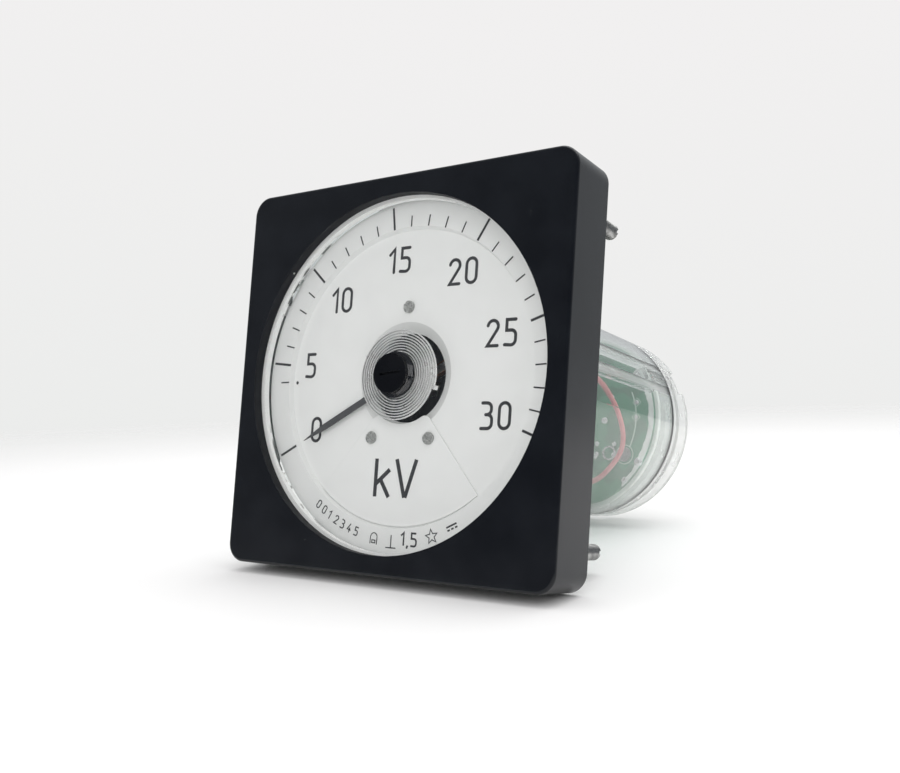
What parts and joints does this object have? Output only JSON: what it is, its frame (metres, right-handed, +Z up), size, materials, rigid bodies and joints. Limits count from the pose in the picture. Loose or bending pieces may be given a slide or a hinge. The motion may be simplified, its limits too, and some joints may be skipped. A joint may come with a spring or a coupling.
{
  "type": "analog dial panel meter",
  "caption": "Square-fronted analog panel meter with a round wide-angle dial, one pointer, a central zero corrector and a slim clear rear housing.",
  "frame": {"origin": "centre of the fixing stud pattern, on the plane where the back edge of the front frame meets the panel", "axes": "+X to the right of a person reading the dial, +Z up, +Y back through the panel along the housing"},
  "size_m": [0.12, 0.148, 0.12],
  "materials": {
    "black_plastic": "moulded, satin black",
    "clear_plastic": "clear polycarbonate",
    "rubber_seal": "black rubber",
    "white_plastic": "white moulded plastic",
    "dial_white": "matt white enamel on aluminium",
    "zinc_steel": "bright zinc plated",
    "stud_steel": "plain steel",
    "aluminium": "stamped and turned",
    "brass": "turned",
    "magnet_alloy": "ground magnet alloy",
    "soft_iron": "grey phosphated soft iron",
    "spring_bronze": "flat rolled strip, bright",
    "board_green": "green solder resist on glass epoxy",
    "capacitor_blue": "sleeved can",
    "resistor_tan": "lacquered",
    "component_black": "moulded",
    "trimmer_blue": "moulded",
    "lead_red": "stranded hook-up wire",
    "lead_black": "stranded hook-up wire",
    "pointer_grey": "dark grey lacquer",
    "coil_copper": "enamelled winding wire"
  },
  "bodies": {
    "meter_body": {"bezel": "black_plastic", "window": "clear_plastic", "window_gasket": "rubber_seal", "spacer_ring": "white_plastic", "dial_plate": "dial_white", "unit_plate": "dial_white", "dial_screws": "zinc_steel", "dial_spacers": "aluminium", "front_plate": "aluminium", "front_plate_screws": "zinc_steel", "front_bridge": "aluminium", "bridge_screws": "zinc_steel", "front_bearing": "brass", "frame_pillars": "aluminium", "frame_screws": "zinc_steel", "rear_plate": "aluminium", "rear_bearing": "brass", "bearing_locknut": "brass", "magnet": "magnet_alloy", "core_ring": "soft_iron", "pole_ring": "soft_iron", "pole_spacers": "aluminium", "pole_screws": "zinc_steel", "rear_spring_post": "brass", "rear_spring": "spring_bronze", "housing": "clear_plastic", "housing_screws": "zinc_steel", "cap_seal": "rubber_seal", "rear_cap": "clear_plastic", "cap_screws": "zinc_steel", "board_ring": "white_plastic", "circuit_board": "board_green", "board_pillars": "aluminium", "board_screws": "zinc_steel", "capacitors": "capacitor_blue", "resistors": "resistor_tan", "rectifier": "component_black", "trimmer": "trimmer_blue", "red_lead": "lead_red", "black_lead": "lead_black", "terminals": "brass", "terminal_washers": "zinc_steel", "terminal_nuts": "brass", "fixing_studs": "stud_steel", "stud_nuts": "zinc_steel"},
    "moving_system": {"spindle": "stud_steel", "pointer": "pointer_grey", "pointer_hub": "brass", "spring_arm": "spring_bronze", "counterweights": "brass", "coil_winding": "coil_copper", "coil_former": "aluminium", "coil_brackets": "aluminium", "balance_weights": "brass", "rear_collet": "brass", "front_spring": "spring_bronze"},
    "corrector": {"zero_corrector": "black_plastic", "corrector_seal": "rubber_seal", "front_collet": "brass"}
  },
  "joints": [
    {"name": "pointer_swing", "type": "hinge", "parent": "meter_body", "child": "moving_system", "pos_m": [0, 0, 0], "axis": [0, 1, 0], "range_deg": [-2, 231], "stiffness_Nm_per_rad": 0.00004, "deforming": ["front_spring", "rear_spring"]},
    {"name": "corrector_turn", "type": "hinge", "parent": "meter_body", "child": "corrector", "pos_m": [0, 0, 0], "axis": [0, 1, 0], "range_deg": [-10, 10]}
  ]
}
